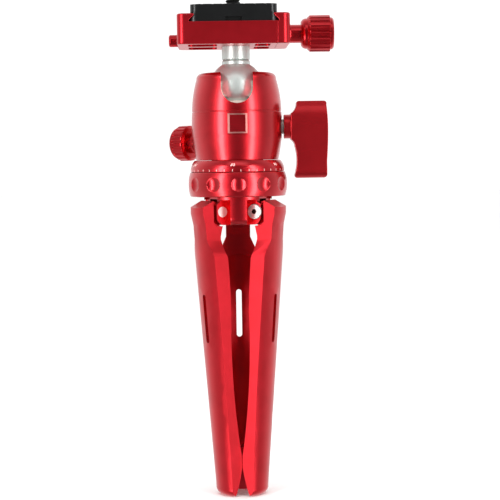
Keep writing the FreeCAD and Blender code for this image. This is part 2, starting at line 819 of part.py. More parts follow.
def clamp_knob():
    low = clamp_right + face_gap
    face = low + knob_shaft_len
    end = low + knob_shaft_len + knob_len
    shape = fluted((0, low), [
        (knob_shaft_r + 0.5, low), (knob_shaft_r, low + 0.5), (knob_shaft_r, face), (5.3, face), (6.2, face + 0.9),
        (6.6, face + 2.6), (7.0, face + 3.2), (knob_r, face + 3.8), (knob_r, end - 2.0), (7.1, end - 1.6),
        (6.8, end - 1.5), (6.8, end - 0.6), (6.2, end), (3.6, end), (3.6, end - 1.0), (0, end - 1.0)],
        knob_r, knob_flutes, face + 2.9, end - 1.55, 0.55, 0.7)
    return to_x(shape.cut(cylinder(clamp_screw_r, 0, low + knob_shaft_len + 9)), clamp_screw_z)


def knob_cap():
    end = clamp_right + face_gap + knob_shaft_len + knob_len
    return to_x(cylinder(3.5, end - 1.0, end - 0.4).cut(socket(1.2, end - 0.8, end)), clamp_screw_z)


def release_button():
    tip = clamp_left - button_out
    shape = lathe((0, tip), [
        (button_r - 0.5, tip), (button_r, tip + 0.5), (button_r, clamp_left + 2.6), (1.2, clamp_left + 2.6),
        (1.2, clamp_left + 3.2), (0, clamp_left + 3.2)])
    return to_x(shape, button_z)


def button_spring():
    coil = tube(2.2, 1.3, clamp_left + 2.65, clamp_left + 4.95)
    return to_x(coil, button_z)


def stop_pin():
    """Fixed pin in the channel that keeps the plate from sliding out sideways."""
    return cylinder(stop_pin_r, button_z + 0.6, clamp_floor + 1.0, pin_x(), stop_pin_y)


# ---- plate -------------------------------------------------------------------------------
def plate():
    start, steps = dovetail(-plate_gap, plate_shoulder)
    tail = move(slab_y(start, steps, plate_half_y), clamp_mid, 0, plate_gap / 2)
    top = rounded_block(clamp_mid - plate_half, clamp_mid + plate_half, plate_half_y, plate_shoulder,
                        plate_top, plate_corner)
    corners = rounded_block(clamp_mid - plate_half - 1, clamp_mid + plate_half + 1, plate_half_y,
                            clamp_floor - 1, plate_top, plate_corner + 0.8)
    shape = tail.common(corners).fuse(top).removeSplitter()
    head_room = clamp_floor + camera_head_t + 0.9
    shape = shape.cut(cylinder(camera_head_r + 0.3, clamp_floor - 1, head_room, clamp_mid))
    shape = shape.cut(cylinder(camera_r + run_gap, clamp_floor, plate_top + 1, clamp_mid))
    shape = shape.cut(block(clamp_mid - 3.5, clamp_mid + 3.5, -plate_half_y - 1, -plate_half_y + 1.2,
                            clamp_floor - 1, clamp_floor + 1.9))
    groove = block(pin_x() - stop_pin_r - 0.3, pin_x() + stop_pin_r + 0.3, stop_pin_y - stop_reach,
                   stop_pin_y + stop_reach, clamp_floor - 1, clamp_floor + 1.4)
    shape = shape.cut(groove)
    return shape.cut(pad_room())


def pad_room():
    inset = 2.2
    return rounded_block(clamp_mid - plate_half + inset, clamp_mid + plate_half - inset, plate_half_y - inset,
                         plate_top - 0.6, plate_top + 1, 1.5)


def plate_pad():
    shape = rounded_block(clamp_mid - plate_half + 2.25, clamp_mid + plate_half - 2.25, plate_half_y - 2.25,
                          plate_top - 0.6, pad_top, 1.4)
    for i in range(-3, 4):
        x = clamp_mid + 4.4 * i
        shape = shape.cut(block(x - 0.45, x + 0.45, -30, 30, plate_top + 0.05, plate_top + 1))
    return shape.cut(cylinder(camera_r + 1.2, plate_top - 2, plate_top + 2, clamp_mid))


def camera_screw():
    low = clamp_floor + 0.5
    head_top = low + camera_head_t
    shape = lathe((0, low), [
        (camera_head_r, low), (camera_head_r, head_top), (camera_neck_r, head_top), (camera_neck_r, pad_top),
        (camera_r, pad_top), (camera_r, camera_tip - 0.5), (camera_r - 0.5, camera_tip), (0, camera_tip)])
    shape = move(shape, clamp_mid)
    return shape.cut(block(clamp_mid - 9, clamp_mid + 9, -0.6, 0.6, low - 1, low + 1.0))


def screw_clip():
    ring = tube(camera_r + 1.0, camera_neck_r + 0.06, plate_top - 0.55, plate_top - 0.05)
    return move(ring, clamp_mid)


# ---- write every node --------------------------------------------------------------------
def three_times(shapes):
    return [turn(shape, azimuth) for azimuth in leg_azimuths() for shape in shapes]


def build():
    one_leg = leg()
    rear, left, right = [turn(one_leg, azimuth) for azimuth in leg_azimuths()]
    return {
        "hub": hub(),
        "leg_rear": rear,
        "leg_left": left,
        "leg_right": right,
        "hinge_barrels": three_times([hinge_barrel()]),
        "hinge_screws": three_times([hinge_screw()]),
        "hinge_washers": three_times(hinge_washers()),
        "stop_ring": stop_ring(),
        "degree_ring": degree_ring(),
        "pan_retainer": pan_retainer(),
        "pan_axle": pan_axle(),
        "housing": housing(),
        "badge_plate": badge_plate(),
        "ball_seat": ball_seat(),
        "ball_liner": ball_liner(),
        "lock_plunger": lock_plunger(),
        "lock_stud": lock_stud(),
        "lock_knob": lock_knob(),
        "lock_cap": lock_cap(),
        "pan_pad": pan_pad(),
        "pan_stud": pan_stud(),
        "pan_knob": pan_knob(),
        "ball": ball(),
        "stem_collar": stem_collar(),
        "stem_bolt": stem_bolt(),
        "clamp_base": clamp_base(),
        "jaw": jaw(),
        "guide_pins": guide_pins(),
        "clamp_screw": clamp_screw(),
        "jaw_spring": jaw_spring(),
        "clamp_knob": clamp_knob(),
        "knob_cap": knob_cap(),
        "release_button": release_button(),
        "button_spring": button_spring(),
        "stop_pin": stop_pin(),
        "plate": plate(),
        "plate_pad": plate_pad(),
        "camera_screw": camera_screw(),
        "screw_clip": screw_clip(),
    }


os.makedirs("parts", exist_ok=True)
for name, shape in build().items():
    if isinstance(shape, list):
        shape = Part.makeCompound(shape)
    shape.exportStep("parts/" + name + ".step")
    print(name, len(shape.Solids), round(shape.Volume, 1), shape.isValid())
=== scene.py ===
# %% [markdown]
# # A folding tabletop tripod with a ball head
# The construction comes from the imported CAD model, and this lesson gives it its surfaces.
# Everything is in metres, in the CAD model's own frame, so no piece has to be fitted.

# %% Load the frame
import json
import math
import bmesh
import bpy
from mathutils import Matrix, Vector


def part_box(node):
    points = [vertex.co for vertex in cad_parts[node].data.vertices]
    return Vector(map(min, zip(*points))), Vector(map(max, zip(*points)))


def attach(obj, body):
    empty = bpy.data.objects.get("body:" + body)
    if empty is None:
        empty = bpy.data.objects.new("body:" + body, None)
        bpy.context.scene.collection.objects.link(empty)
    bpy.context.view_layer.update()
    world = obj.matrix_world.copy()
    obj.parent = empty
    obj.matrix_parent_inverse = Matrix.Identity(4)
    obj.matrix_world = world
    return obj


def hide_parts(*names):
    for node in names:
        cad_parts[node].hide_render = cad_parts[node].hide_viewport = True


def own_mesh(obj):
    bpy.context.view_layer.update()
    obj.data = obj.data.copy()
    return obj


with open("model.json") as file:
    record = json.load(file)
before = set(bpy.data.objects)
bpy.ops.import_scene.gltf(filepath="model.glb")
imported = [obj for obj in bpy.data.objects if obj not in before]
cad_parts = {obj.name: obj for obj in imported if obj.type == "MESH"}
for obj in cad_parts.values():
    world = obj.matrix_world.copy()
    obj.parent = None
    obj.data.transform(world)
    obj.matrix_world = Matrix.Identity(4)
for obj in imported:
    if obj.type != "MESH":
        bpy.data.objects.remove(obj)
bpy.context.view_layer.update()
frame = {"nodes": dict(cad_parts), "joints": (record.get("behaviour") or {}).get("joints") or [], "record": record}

MM = 0.001
nodes = frame["nodes"]
body_of_node = {
    node: body for body, members in frame["record"]["behaviour"]["bodies"].items() for node in members}

# %% [markdown]
# ## One helper for every node tree
# Shader trees and Geometry Nodes trees are both lists of nodes with settings and inputs.
# An input is either a number or the output of an earlier node.

# %% Add a node
def add_node(tree, kind, settings=None, inputs=None):
    node = tree.nodes.new(kind)
    for key, value in (settings or {}).items():
        setattr(node, key, value)
    for key, value in (inputs or {}).items():
        socket = node.inputs[key]
        if isinstance(value, bpy.types.NodeSocket):
            tree.links.new(value, socket)
        else:
            socket.default_value = value
    return node


def linear(hex_colour):
    """sRGB hex to the linear colour that a shader takes."""
    parts = [int(hex_colour[i:i + 2], 16) / 255 for i in (0, 2, 4)]
    return [p / 12.92 if p <= 0.04045 else ((p + 0.055) / 1.055) ** 2.4 for p in parts] + [1.0]


# %% [markdown]
# ## Materials
# Nearly all of the tripod is aluminium, with stainless screws and a camera screw in black oxide steel.
# The red pieces are dyed in the anodising bath: the colour sits in a clear, hard oxide layer on bright
# metal, so the metal itself reflects red and the top of the oxide adds a paler gloss.  That is a red
# metallic shader under a thin coat.  The badge's rim is cut after the dyeing, so it is nearly bare metal.
# Turned pieces keep the lathe's fine rings, and blasted ones a fine grain.  Both are far finer than a picture
# this size can show, so they are drawn as coarse as they need to be seen.

# %% A surface pattern from real sizes
def pattern(tree, spacing_mm, stretch=(1, 1, 1), detail=2.0):
    """Noise whose grains are spacing_mm across, pulled out along any axis by a stretch under 1."""
    place = add_node(tree, "ShaderNodeTexCoord")
    scale = 1.0 / (spacing_mm * MM)
    mapped = add_node(tree, "ShaderNodeMapping", inputs={
        "Vector": place.outputs["Object"], "Scale": [scale * s for s in stretch]})
    return add_node(tree, "ShaderNodeTexNoise", {"noise_dimensions": "3D"}, {
        "Vector": mapped.outputs["Vector"], "Scale": 1.0, "Detail": detail, "Roughness": 0.55})


def spread(tree, factor, low, high):
    """Map a noise from its usual middle range to low .. high."""
    return add_node(tree, "ShaderNodeMapRange", inputs={
        "Value": factor, "From Min": 0.3, "From Max": 0.7, "To Min": low, "To Max": high})


def surface(name, dark, light, metallic, roughness, grain_mm, stretch=(1, 1, 1), grain_depth_mm=0.004,
            patch_mm=9.0, coat=0.0, coat_roughness=0.2, specular=0.5):
    """A finish: two close colours in broad patches, and a fine grain in the roughness and the height."""
    material = bpy.data.materials.new(name)
    material.use_nodes = True
    tree = material.node_tree
    tree.nodes.clear()
    patches = pattern(tree, patch_mm)
    grain = pattern(tree, grain_mm, stretch)
    colour = add_node(tree, "ShaderNodeMix", {"data_type": "RGBA"}, {
        0: spread(tree, patches.outputs["Fac"], 0.0, 1.0).outputs["Result"], 6: linear(dark), 7: linear(light)})
    rough = spread(tree, grain.outputs["Fac"], roughness - 0.035, roughness + 0.045)
    bump = add_node(tree, "ShaderNodeBump", inputs={
        "Height": grain.outputs["Fac"], "Distance": grain_depth_mm * MM, "Strength": 0.5})
    shader = add_node(tree, "ShaderNodeBsdfPrincipled", inputs={
        "Base Color": colour.outputs[2], "Metallic": metallic, "Roughness": rough.outputs["Result"],
        "Normal": bump.outputs["Normal"], "Coat Weight": coat, "Coat Roughness": coat_roughness,
        "Specular IOR Level": specular})
    add_node(tree, "ShaderNodeOutputMaterial", inputs={"Surface": shader.outputs["BSDF"]})
    print("material", name)
    return material


# %% Red anodised aluminium, in its two textures, and the bare metals
RINGS = (0.06, 0.06, 1.0)
anodised_turned = surface("red_anodised_aluminium_turned", "C4101E", "D21626", 1.0, 0.33, 0.45, RINGS, 0.0010,
                          coat=0.85, coat_roughness=0.21)
anodised_blasted = surface("red_anodised_aluminium_blasted", "C4101E", "D21626", 1.0, 0.36, 0.35,
                           (1, 1, 1), 0.0035, coat=0.5, coat_roughness=0.30)
anodised_knob = surface("red_anodised_aluminium_knob", "BE0F1C", "CC1422", 1.0, 0.30, 0.5, (1, 1, 1), 0.0,
                        coat=0.55, coat_roughness=0.2)
anodised_wing = surface("red_anodised_aluminium_wing", "B80F1B", "C4131F", 1.0, 0.37, 0.5, (1, 1, 1), 0.0,
                        coat=0.5, coat_roughness=0.3)
silver_turned = surface("clear_anodised_aluminium_satin", "C6CFCB", "D0D9D5", 0.75, 0.40, 0.4, RINGS, 0.002)
bright_cut = surface("red_anodised_aluminium_bright_cut", "DD8A84", "E79C96", 1.0, 0.35, 0.4, (1, 1, 1), 0.001)
black_anodised = surface("black_anodised_aluminium", "0B0C0D", "101112", 0.5, 0.34, 0.3, (1, 1, 1), 0.002,
                         coat=0.4, coat_roughness=0.2)
black_steel = surface("black_oxide_steel", "2A2A2A", "333333", 0.9, 0.35, 0.3, (1, 1, 1), 0.002)
stainless = surface("stainless_steel_machined", "CFCFCB", "DEDEDA", 0.8, 0.40, 0.3, (1, 1, 1), 0.002)
brass = surface("brass_turned", "B08D4A", "C6A15A", 1.0, 0.3, 0.3, (1, 1, 1), 0.002)
rubber = surface("black_rubber_pad", "232527", "2C2E30", 0.0, 0.72, 0.5, (1, 1, 1), 0.02)
nylon = surface("natural_nylon", "D9D4C6", "E4E0D4", 0.0, 0.45, 0.6, (1, 1, 1), 0.004)
dial_paint = surface("white_dial_paint", "E2B0AC", "ECC2BE", 0.0, 0.55, 0.3, (1, 1, 1), 0.002)

# %% [markdown]
# ## Dressing the CAD pieces
# A CAD node is a bag of loose triangles.  A copy is merged, its flat faces are joined up, and its sharp
# edges get the small break that every machined and tumbled edge has, because that thin line is what catches
# the light.  Averaged normals keep the turned faces round.  The copy then stands for the CAD node.

# %% Dress one node
def finish_mesh(piece, edge_mm, limit_degrees=32.0):
    """Break the sharp edges and freeze all modifiers into a plain mesh."""
    if edge_mm > 0:
        bevel = piece.modifiers.new("edge_break", "BEVEL")
        bevel.width = edge_mm * MM
        bevel.segments = 3
        bevel.limit_method = "ANGLE"
        bevel.angle_limit = math.radians(limit_degrees)
        bevel.use_clamp_overlap = True
        bevel.harden_normals = False
    weighted = piece.modifiers.new("weighted_normals", "WEIGHTED_NORMAL")
    weighted.keep_sharp = True
    weighted.weight = 60
    freeze(piece)


def freeze(piece):
    graph = bpy.context.evaluated_depsgraph_get()
    mesh = bpy.data.meshes.new_from_object(piece.evaluated_get(graph), preserve_all_data_layers=True,
                                           depsgraph=graph)
    piece.modifiers.clear()
    piece.data = mesh
    return piece


def dress(node, material, edge_mm=0.15, smooth_degrees=32.0):
    mesh = nodes[node].data.copy()
    mesh.name = node + "_finished"
    work = bmesh.new()
    work.from_mesh(mesh)
    bmesh.ops.remove_doubles(work, verts=work.verts, dist=0.002 * MM)
    bmesh.ops.dissolve_limit(work, angle_limit=math.radians(0.6), verts=work.verts, edges=work.edges)
    for face in work.faces:
        face.smooth = True
    work.to_mesh(mesh)
    work.free()
    mesh.set_sharp_from_angle(angle=math.radians(smooth_degrees))
    piece = bpy.data.objects.new(node + "_finished", mesh)
    bpy.context.scene.collection.objects.link(piece)
    mesh.materials.clear()
    mesh.materials.append(material)
    finish_mesh(piece, edge_mm, smooth_degrees)
    stand_for(piece, node)
    print(node, len(piece.data.polygons), "faces")
    return piece


def stand_for(piece, node):
    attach(piece, body_of_node[node])
    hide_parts(node)


# %% Dress the fixed and turning pieces
for node, edge in {"leg_rear": 0.6, "leg_left": 0.6, "leg_right": 0.6, "clamp_base": 0.25, "jaw": 0.25}.items():
    dress(node, anodised_blasted, edge)
for node, edge in {"hub": 0.2, "housing": 0.18, "degree_ring": 0.15}.items():
    dress(node, anodised_turned, edge)
badge = dress("badge_plate", anodised_turned, 0.05)
badge_low, badge_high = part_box("badge_plate")
badge.data.materials.append(bright_cut)
rim = 0.6 * MM
for face in badge.data.polygons:
    x, y, z = face.center
    on_rim = abs(x) > badge_high.x - rim or z < badge_low.z + rim or z > badge_high.z - rim
    if on_rim and face.normal.y < -0.6:
        face.material_index = 1
print("badge rim faces", sum(face.material_index for face in badge.data.polygons))
dress("lock_knob", anodised_wing, 0.5)
for node, edge in {"lock_cap": 0.1, "knob_cap": 0.1, "release_button": 0.12}.items():
    dress(node, anodised_knob, edge)
for node in ("ball", "stem_collar"):
    dress(node, silver_turned, 0.12)
for node in ("hinge_barrels", "lock_stud"):
    dress(node, stainless, 0.08)
screws = dress("hinge_screws", stainless, 0.08)
# The drive sockets take black oxide steel as painted shade: the screws are stainless, and their sockets look dark
# only because they are deep holes.
screws.data.materials.append(black_steel)
hinges = [joint for joint in frame["joints"] if joint["name"].endswith("_fold")]
shaded_socket_reach = 1.2 * MM          # the drive socket lies this near its screw's axis, and the shank doesn't
for face in screws.data.polygons:
    corners = [screws.data.vertices[i].co for i in face.vertices]
    for joint in hinges:
        axis = Vector(joint["axis"]).normalized()
        away = [corner - Vector(joint["pos_m"]) for corner in corners]
        if max((a - a.dot(axis) * axis).length for a in away) < shaded_socket_reach:
            face.material_index = 1
print("socket faces", sum(face.material_index for face in screws.data.polygons))
button_spring = dress("button_spring", stainless, 0.0)
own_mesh(button_spring)
dress("plate", black_anodised, 0.2)
dress("plate_pad", rubber, 0.1)

# %% [markdown]
# ## Turned pieces whose shape follows a rule
# The grip ring has twelve round finger scallops, and both knobs have rows of flutes.  Each starts as a plain
# turned blank, a grid of rings and columns, and a Geometry Nodes tree moves the grid's points inwards by a
# formula.  The count, depth and length are the tree's inputs.

# %% A turned blank
def turned_blank(name, profile, columns):
    """Closed surface of revolution about Z from (radius, height) pairs in mm, poles included."""
    work = bmesh.new()
    rings = []
    for radius, height in profile:
        if radius == 0:
            rings.append([work.verts.new((0, 0, height * MM))])
            continue
        rings.append([work.verts.new((radius * MM * math.cos(2 * math.pi * i / columns),
                                      radius * MM * math.sin(2 * math.pi * i / columns), height * MM))
                      for i in range(columns)])
    for lower, upper in zip(rings, rings[1:]):
        for i in range(columns):
            j = (i + 1) % columns
            corners = [lower[i % len(lower)], lower[j % len(lower)],
                       upper[j % len(upper)], upper[i % len(upper)]]
            work.faces.new(list(dict.fromkeys(corners)))
    mesh = bpy.data.meshes.new(name)
    bmesh.ops.recalc_face_normals(work, faces=work.faces)
    for face in work.faces:
        face.smooth = True
    work.to_mesh(mesh)
    work.free()
    piece = bpy.data.objects.new(name, mesh)
    bpy.context.scene.collection.objects.link(piece)
    return piece


def filled(points, step):
    """More points along a profile, so that no stretch is longer than step mm."""
    result = [points[0]]
    for (r0, z0), (r1, z1) in zip(points, points[1:]):
        count = max(1, math.ceil(math.hypot(r1 - r0, z1 - z0) / step))
        result += [(r0 + (r1 - r0) * i / count, z0 + (z1 - z0) * i / count) for i in range(1, count + 1)]
    return result


# %% A tree with named inputs
def new_tree(name, inputs):
    tree = bpy.data.node_groups.new(name, "GeometryNodeTree")
    tree.interface.new_socket("Geometry", in_out="INPUT", socket_type="NodeSocketGeometry")
    for label, kind in inputs.items():
        tree.interface.new_socket(label, in_out="INPUT", socket_type=kind)
    tree.interface.new_socket("Geometry", in_out="OUTPUT", socket_type="NodeSocketGeometry")
    return tree, add_node(tree, "NodeGroupInput").outputs


def close_tree(tree, geometry, material):
    real = add_node(tree, "GeometryNodeRealizeInstances", inputs={"Geometry": geometry})
    painted = add_node(tree, "GeometryNodeSetMaterial", inputs={
        "Geometry": real.outputs[0], "Material": material})
    add_node(tree, "NodeGroupOutput", inputs={"Geometry": painted.outputs[0]})


def sum_of(tree, operation, first, second=None):
    inputs = {0: first} if second is None else {0: first, 1: second}
    return add_node(tree, "ShaderNodeMath", {"operation": operation}, inputs).outputs[0]


def run_tree(piece, tree, values):
    modifier = piece.modifiers.new(tree.name, "NODES")
    modifier.node_group = tree
    for item in tree.interface.items_tree:
        if item.item_type == "SOCKET" and item.in_out == "INPUT" and item.name in values:
            modifier[item.identifier] = values[item.name]
    return freeze(piece)


def polar(tree):
    """Angle and radius of each point, seen along Z."""
    place = add_node(tree, "ShaderNodeSeparateXYZ", inputs={
        0: add_node(tree, "GeometryNodeInputPosition").outputs[0]}).outputs
    angle = sum_of(tree, "ARCTAN2", place["Y"], place["X"])
    radius = sum_of(tree, "SQRT", sum_of(tree, "ADD", sum_of(tree, "MULTIPLY", place["X"], place["X"]),
                                         sum_of(tree, "MULTIPLY", place["Y"], place["Y"])))
    return place, angle, radius


def pull_in(tree, geometry, place, radius, new_radius):
    """Set every point to a new radius, and keep its angle and height."""
    ratio = sum_of(tree, "DIVIDE", new_radius, sum_of(tree, "MAXIMUM", radius, 0.00001))
    target = add_node(tree, "ShaderNodeCombineXYZ", inputs={
        "X": sum_of(tree, "MULTIPLY", place["X"], ratio), "Y": sum_of(tree, "MULTIPLY", place["Y"], ratio),
        "Z": place["Z"]})
    return add_node(tree, "GeometryNodeSetPosition", inputs={
        "Geometry": geometry, "Position": target.outputs[0]}).outputs[0]


# %% Flutes for the knobs
def flute_tree(material):
    tree, given = new_tree("flutes", {"Count": "NodeSocketFloat", "Depth": "NodeSocketFloat",
                                      "Low": "NodeSocketFloat", "High": "NodeSocketFloat"})
    place, angle, radius = polar(tree)
    wave = sum_of(tree, "COSINE", sum_of(tree, "MULTIPLY", angle, given["Count"]))
    scoop = sum_of(tree, "SQRT", sum_of(tree, "MAXIMUM", wave, 0.0))
    inside = sum_of(tree, "MULTIPLY", sum_of(tree, "GREATER_THAN", place["Z"], given["Low"]),
                    sum_of(tree, "LESS_THAN", place["Z"], given["High"]))
    depth = sum_of(tree, "MULTIPLY", sum_of(tree, "MULTIPLY", scoop, inside), given["Depth"])
    new_radius = sum_of(tree, "SUBTRACT", radius, depth)
    close_tree(tree, pull_in(tree, given["Geometry"], place, radius, new_radius), material)
    return tree


flutes = flute_tree(anodised_knob)


def fluted_knob(node, profile, count, depth, low, high, axis, origin):
    """A knob turned along Z, fluted, then laid along its own axis."""
    piece = turned_blank(node + "_finished", filled(profile, 0.7), count * 18)
    run_tree(piece, flutes, {"Count": float(count), "Depth": depth * MM, "Low": low * MM, "High": high * MM})
    lay = Vector((0, 0, 1)).rotation_difference(Vector(axis)).to_matrix().to_4x4()
    piece.data.transform(Matrix.Translation(origin) @ lay)
    piece.data.set_sharp_from_angle(angle=math.radians(38))
    stand_for(piece, node)
    print(node, len(piece.data.polygons), "faces")
    return piece


# %% Place both knobs from the frame
knob_low, knob_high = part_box("clamp_knob")
knob_origin = Vector((knob_low.x, 0, (knob_low.z + knob_high.z) / 2))
knob_len = (knob_high.x - knob_low.x) / MM
knob_r = (knob_high.z - knob_low.z) / 2 / MM
shaft_len = 5.3
flute_low = shaft_len + 3.8
flute_high = knob_len - 1.75
fluted_knob("clamp_knob", [
    (0, 0.02), (4.3, 0.02), (4.0, 0.5), (3.9, 0.9), (3.9, shaft_len), (5.2, shaft_len), (6.1, shaft_len + 0.8),
    (6.45, shaft_len + 1.7), (6.5, shaft_len + 2.6), (6.9, shaft_len + 2.7), (7.15, shaft_len + 3.1),
    (knob_r - 0.05, flute_low - 0.05), (knob_r, flute_low), (knob_r, flute_high),
    (knob_r - 0.15, flute_high + 0.15),
    (7.0, flute_high + 0.2), (6.8, flute_high + 0.35), (6.8, knob_len - 0.7), (6.2, knob_len - 0.05),
    (3.7, knob_len), (3.6, knob_len - 0.95), (0, knob_len - 0.95)],
    20, 0.5, flute_low - 0.3, flute_high + 0.05, (1, 0, 0), knob_origin)

pan_joint = next(j for j in frame["joints"] if j["name"] == "pan_knob_turn")
pan_axis = Vector(pan_joint["axis"])
pan_start = Vector(pan_joint["pos_m"]) - 2.6 * MM * pan_axis
pan_r = 7.7
pan_len = 11.0
fluted_knob("pan_knob", [
    (0, 0.0), (4.4, 0.0), (4.4, 2.6), (pan_r - 1.2, 2.6), (pan_r - 0.1, 3.5), (pan_r, 3.65),
    (pan_r, pan_len - 2.6),
    (pan_r - 0.2, pan_len - 2.4), (pan_r - 0.9, pan_len - 2.2), (pan_r - 0.9, pan_len - 0.8),
    (pan_r - 1.6, pan_len - 0.02), (3.3, pan_len), (3.1, pan_len - 0.8), (0, pan_len - 0.8)],
    18, 0.45, 3.6, pan_len - 2.5, pan_axis, pan_start)

# %% Finger scallops for the grip ring
OUTER_WALL_MM = 17.5     # only points further out than this are on the outer wall


def scallop_tree(material):
    """Each scallop is the near side of a ball whose centre stands outside the ring."""
    tree, given = new_tree("scallops", {"Count": "NodeSocketFloat", "Ball radius": "NodeSocketFloat",
                                        "Ball place": "NodeSocketFloat", "Middle": "NodeSocketFloat",
                                        "First angle": "NodeSocketFloat"})
    place, angle, radius = polar(tree)
    pitch = sum_of(tree, "DIVIDE", 2 * math.pi, given["Count"])
    turned = sum_of(tree, "ADD", sum_of(tree, "SUBTRACT", angle, given["First angle"]),
                    sum_of(tree, "MULTIPLY", pitch, 0.5))
    away = sum_of(tree, "SUBTRACT", sum_of(tree, "FLOORED_MODULO", turned, pitch),
                  sum_of(tree, "MULTIPLY", pitch, 0.5))
    side = sum_of(tree, "MULTIPLY", given["Ball place"], sum_of(tree, "SINE", away))
    rise = sum_of(tree, "SUBTRACT", place["Z"], given["Middle"])
    across = sum_of(tree, "ADD", sum_of(tree, "MULTIPLY", side, side), sum_of(tree, "MULTIPLY", rise, rise))
    ball_square = sum_of(tree, "MULTIPLY", given["Ball radius"], given["Ball radius"])
    left = sum_of(tree, "SUBTRACT", ball_square, across)
    near = sum_of(tree, "SUBTRACT", sum_of(tree, "MULTIPLY", given["Ball place"], sum_of(tree, "COSINE", away)),
                  sum_of(tree, "SQRT", sum_of(tree, "MAXIMUM", left, 0.0)))
    hollow = sum_of(tree, "MINIMUM", radius, near)
    meets = sum_of(tree, "MULTIPLY", sum_of(tree, "GREATER_THAN", left, 0.0),
                   sum_of(tree, "GREATER_THAN", radius, OUTER_WALL_MM * MM))
    cut = sum_of(tree, "MULTIPLY", sum_of(tree, "SUBTRACT", radius, hollow), meets)
    new_radius = sum_of(tree, "SUBTRACT", radius, cut)
    close_tree(tree, pull_in(tree, given["Geometry"], place, radius, new_radius), material)
    return tree


ring_low, ring_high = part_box("stop_ring")
ring_z0 = ring_low.z / MM
ring_z1 = ring_high.z / MM
ring_mid = (ring_z0 + ring_z1) / 2
edge_r = 20.5            # outer radius at the ring's two edges
belly_r = 21.3           # and at its middle
bore_r = 12.05           # upper bore
recess_r = 14.65         # wider bore under it
step_z = 130.8           # height of the step between the two
ring_round = 0.7
ring_profile = [(recess_r, ring_z0), (edge_r - ring_round, ring_z0)]
ROUND_STEPS = 5          # points round each edge
BELLY_STEPS = 60         # and up the belly
for i in range(1, ROUND_STEPS + 1):
    a = math.radians(90 * i / ROUND_STEPS)
    ring_profile.append((edge_r - ring_round + ring_round * math.sin(a),
                         ring_z0 + ring_round * (1 - math.cos(a))))
half = (ring_z1 - ring_z0) / 2 - ring_round
for i in range(1, BELLY_STEPS):
    t = -1 + 2 * i / BELLY_STEPS
    ring_profile.append((belly_r - (belly_r - edge_r) * t * t, ring_mid + half * t))
for i in range(ROUND_STEPS + 1):
    a = math.radians(90 * i / ROUND_STEPS)
    ring_profile.append((edge_r - ring_round + ring_round * math.cos(a),
                         ring_z1 - ring_round + ring_round * math.sin(a)))
ring_profile += [(bore_r, ring_z1), (bore_r, step_z), (recess_r, step_z), (recess_r, ring_z0)]
grip_ring = turned_blank("stop_ring_finished", ring_profile, 720)
scallop_ball = 6.2
scallop_depth = 1.1
SCALLOPS = 12.0
run_tree(grip_ring, scallop_tree(anodised_turned), {
    "Count": SCALLOPS, "Ball radius": scallop_ball * MM,
    "Ball place": (belly_r + scallop_ball - scallop_depth) * MM,
    "Middle": ring_mid * MM, "First angle": -math.pi / 2})
weld = bmesh.new()
weld.from_mesh(grip_ring.data)
bmesh.ops.remove_doubles(weld, verts=weld.verts, dist=0.001 * MM)
bmesh.ops.recalc_face_normals(weld, faces=weld.faces)
weld.to_mesh(grip_ring.data)
weld.free()
grip_ring.data.set_sharp_from_angle(angle=math.radians(34))
stand_for(grip_ring, "stop_ring")
print("grip ring", len(grip_ring.data.polygons), "faces")

# %% [markdown]
# ## The dial's marks
# The degree marks are engraved lines filled with white paint.  Here each is a thin bar that stands a few
# hundredths of a millimetre proud of the dial, copied round by Geometry Nodes.  The numbers are plain
# degrees, laid round the dial's slope.

# %% Ticks by Geometry Nodes
dial_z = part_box("stop_ring")[1].z / MM + 0.1     # where the dial starts, just above the ring
TICK_STEP = 10           # degrees from mark to mark
FIRST_TICK = 263.0
NUMBER_STEP = 60         # degrees from number to number
LINE_R = 20.04           # radius of a mark's middle


def tick_tree(material):
    tree, given = new_tree("dial_ticks", {"Count": "NodeSocketInt", "Step": "NodeSocketFloat",
                                          "First angle": "NodeSocketFloat"})
    points = add_node(tree, "GeometryNodePoints", inputs={"Count": given["Count"]})
    index = add_node(tree, "GeometryNodeInputIndex")
    turn = sum_of(tree, "ADD", sum_of(tree, "MULTIPLY", index.outputs[0], given["Step"]), given["First angle"])
    facing = add_node(tree, "ShaderNodeCombineXYZ", inputs={"Z": turn})
    copies = add_node(tree, "GeometryNodeInstanceOnPoints", inputs={
        "Points": points.outputs[0], "Instance": given["Geometry"], "Rotation": facing.outputs[0]})
    close_tree(tree, copies.outputs[0], material)
    return tree


def bar(name, length, width, height, centre):
    work = bmesh.new()
    bmesh.ops.create_cube(work, size=1.0)
    shape = Matrix.Diagonal((length * MM, width * MM, height * MM, 1))
    bmesh.ops.transform(work, matrix=Matrix.Translation(Vector(centre) * MM) @ shape, verts=work.verts)
    mesh = bpy.data.meshes.new(name)
    work.to_mesh(mesh)
    work.free()
    piece = bpy.data.objects.new(name, mesh)
    bpy.context.scene.collection.objects.link(piece)
    return piece


ticks = bar("dial_ticks", 0.2, 0.17, 0.9, (LINE_R, 0, dial_z + 0.62))
run_tree(ticks, tick_tree(dial_paint), {"Count": 360 // TICK_STEP, "Step": math.radians(TICK_STEP),
                                         "First angle": math.radians(FIRST_TICK)})
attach(ticks, "hub")
print("ticks", len(ticks.data.polygons) // 6)

# %% Numbers round the slope
NUMBER_RISE = 3.0        # middle of the numbers above the dial's start
NUMBER_R = 19.62         # the slope's radius there
DIAL_SLOPE = 0.62        # how fast the radius shrinks with height
SLOPE_HEIGHT = 0.86      # height of a letter on the slope, seen from the side
NUMBER_SINK = 0.02       # how deep a letter sits in the dial


